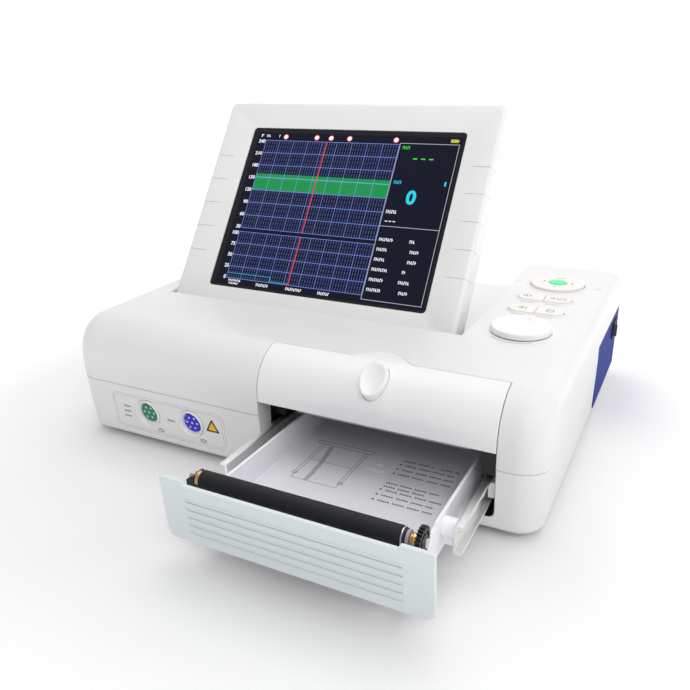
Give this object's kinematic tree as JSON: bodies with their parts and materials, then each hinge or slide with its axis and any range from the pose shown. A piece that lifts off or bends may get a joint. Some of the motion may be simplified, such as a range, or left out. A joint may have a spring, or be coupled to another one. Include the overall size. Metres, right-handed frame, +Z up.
{
  "type": "ecg machine",
  "caption": "Desktop patient monitor with a folding screen, round lead sockets, soft keys and knob, and a thermal chart printer whose paper drawer slides out at the front.",
  "frame": {"origin": "on the surface the machine stands on, below the middle of its outline with the drawer open", "axes": "+Z up, +X to the machine's right as seen from the front, the drawer opens towards -Y"},
  "size_m": [0.3414, 0.3894, 0.2262],
  "materials": {
    "casing_white": "satin moulded ABS",
    "cover_white": "satin moulded ABS",
    "drawer_grey": "satin moulded ABS",
    "tray_white": "satin moulded ABS",
    "label_grey": "satin printed film",
    "key_white": "soft silicone rubber",
    "key_green": "translucent silicone rubber",
    "panel_blue": "satin moulded ABS",
    "insert_green": "moulded nylon",
    "insert_blue": "moulded nylon",
    "glass_black": "glossy with a lit picture behind it",
    "rubber_black": "matt silicone rubber",
    "plastic_black": "moulded",
    "rail_steel": "zinc plated",
    "shaft_steel": "ground",
    "board_green": "solder mask",
    "heatsink_grey": "anodised"
  },
  "bodies": {
    "housing": {"bottom_case": "casing_white", "top_case": "casing_white", "printer_cover": "cover_white", "side_panel_left": "panel_blue", "side_panel_right": "panel_blue", "socket_label": "label_grey", "socket_shell_left": "cover_white", "socket_shell_right": "cover_white", "socket_insert_left": "insert_green", "socket_insert_right": "insert_blue", "foot_front_left": "rubber_black", "foot_front_right": "rubber_black", "foot_back_left": "rubber_black", "foot_back_right": "rubber_black", "case_screw_1": "shaft_steel", "case_screw_2": "shaft_steel", "case_screw_3": "shaft_steel", "case_screw_4": "shaft_steel", "main_board": "board_green", "power_supply": "heatsink_grey", "battery_pack": "plastic_black", "battery_cover": "casing_white", "speaker": "plastic_black", "key_board": "board_green", "encoder_body": "heatsink_grey", "power_switch_frame": "plastic_black", "mains_inlet": "plastic_black", "printer_chassis": "plastic_black", "rail_outer_left": "rail_steel", "rail_outer_right": "rail_steel", "feed_motor": "heatsink_grey", "hinge_bracket_left": "heatsink_grey", "hinge_bracket_right": "heatsink_grey"},
    "screen": {"screen_bezel": "casing_white", "screen_back": "casing_white", "display_glass": "glass_black", "lcd_panel": "heatsink_grey", "hinge_shaft": "shaft_steel"},
    "drawer": {"drawer_front": "drawer_grey", "paper_tray": "tray_white", "rail_inner_left": "rail_steel", "rail_inner_right": "rail_steel", "bearing_block_left": "plastic_black", "bearing_block_right": "plastic_black"},
    "roller": {"platen_roller": "rubber_black", "roller_shaft": "shaft_steel", "roller_gear": "plastic_black"},
    "drive_gear": {"drive_gear": "plastic_black"},
    "motor_pinion": {"motor_pinion": "plastic_black"},
    "print_head": {"print_head": "heatsink_grey"},
    "release_button": {"release_button": "cover_white"},
    "latch_lever": {"latch_lever": "plastic_black"},
    "knob": {"knob": "key_white"},
    "ring_pad": {"ring_pad": "key_white"},
    "start_key": {"start_key": "key_green"},
    "key_front_left": {"key_front_left": "key_white"},
    "key_front_right": {"key_front_right": "key_white"},
    "key_back_left": {"key_back_left": "key_white"},
    "key_back_right": {"key_back_right": "key_white"},
    "power_rocker": {"power_rocker": "plastic_black"}
  },
  "joints": [
    {"name": "drawer_slide", "type": "slide", "parent": "housing", "child": "drawer", "axis": [0, 1, 0], "range_m": [-0.01, 0.0936]},
    {"name": "roller_spin", "type": "hinge", "parent": "drawer", "child": "roller", "pos_m": [0.06385, -0.1786, 0.0473], "axis": [1, 0, 0], "continuous": true},
    {"name": "drive_gear_spin", "type": "hinge", "parent": "housing", "child": "drive_gear", "pos_m": [0.12705, -0.07045, 0.0473], "axis": [1, 0, 0], "continuous": true},
    {"name": "motor_pinion_spin", "type": "hinge", "parent": "housing", "child": "motor_pinion", "pos_m": [0.12705, -0.06498, 0.05678], "axis": [1, 0, 0], "continuous": true},
    {"name": "print_head_float", "type": "slide", "parent": "housing", "child": "print_head", "axis": [0, 1, 0], "range_m": [0, 0.001], "stiffness_N_per_m": 4000, "springref_m": -0.0005},
    {"name": "screen_tilt", "type": "hinge", "parent": "housing", "child": "screen", "pos_m": [-0.02865, -0.0081, 0.0797], "axis": [1, 0, 0], "range_deg": [-54.2, 4.3]},
    {"name": "release_press", "type": "slide", "parent": "housing", "child": "release_button", "axis": [0, -0.682, 0.7314], "range_m": [-0.002, 0], "stiffness_N_per_m": 600, "springref_m": 0.0006},
    {"name": "latch_rock", "type": "hinge", "parent": "housing", "child": "latch_lever", "pos_m": [0.06435, -0.0851, 0.0625], "axis": [1, 0, 0], "range_deg": [-16, 0]},
    {"name": "knob_turn", "type": "hinge", "parent": "housing", "child": "knob", "pos_m": [0.12535, 0.0019, 0.09107], "axis": [0, -0.0262, 0.9997], "continuous": true},
    {"name": "ring_pad_press", "type": "slide", "parent": "housing", "child": "ring_pad", "axis": [0, -0.0262, 0.9997], "range_m": [-0.0009, 0], "stiffness_N_per_m": 350, "springref_m": 0.0004},
    {"name": "start_key_press", "type": "slide", "parent": "housing", "child": "start_key", "axis": [0, -0.0262, 0.9997], "range_m": [-0.0009, 0], "stiffness_N_per_m": 350, "springref_m": 0.0004},
    {"name": "key_front_left_press", "type": "slide", "parent": "housing", "child": "key_front_left", "axis": [0, -0.0262, 0.9997], "range_m": [-0.0009, 0], "stiffness_N_per_m": 350, "springref_m": 0.0004},
    {"name": "key_front_right_press", "type": "slide", "parent": "housing", "child": "key_front_right", "axis": [0, -0.0262, 0.9997], "range_m": [-0.0009, 0], "stiffness_N_per_m": 350, "springref_m": 0.0004},
    {"name": "key_back_left_press", "type": "slide", "parent": "housing", "child": "key_back_left", "axis": [0, -0.0262, 0.9997], "range_m": [-0.0009, 0], "stiffness_N_per_m": 350, "springref_m": 0.0004},
    {"name": "key_back_right_press", "type": "slide", "parent": "housing", "child": "key_back_right", "axis": [0, -0.0262, 0.9997], "range_m": [-0.0009, 0], "stiffness_N_per_m": 350, "springref_m": 0.0004},
    {"name": "power_rock", "type": "hinge", "parent": "housing", "child": "power_rocker", "pos_m": [0.16475, 0.1599, 0.0495], "axis": [0, 0, 1], "range_deg": [-16, 0]}
  ],
  "couplings": [
    {"joint": "motor_pinion_spin", "follows": "drive_gear_spin", "ratio": -2},
    {"joint": "latch_rock", "follows": "release_press", "rad_per_m": 131}
  ]
}
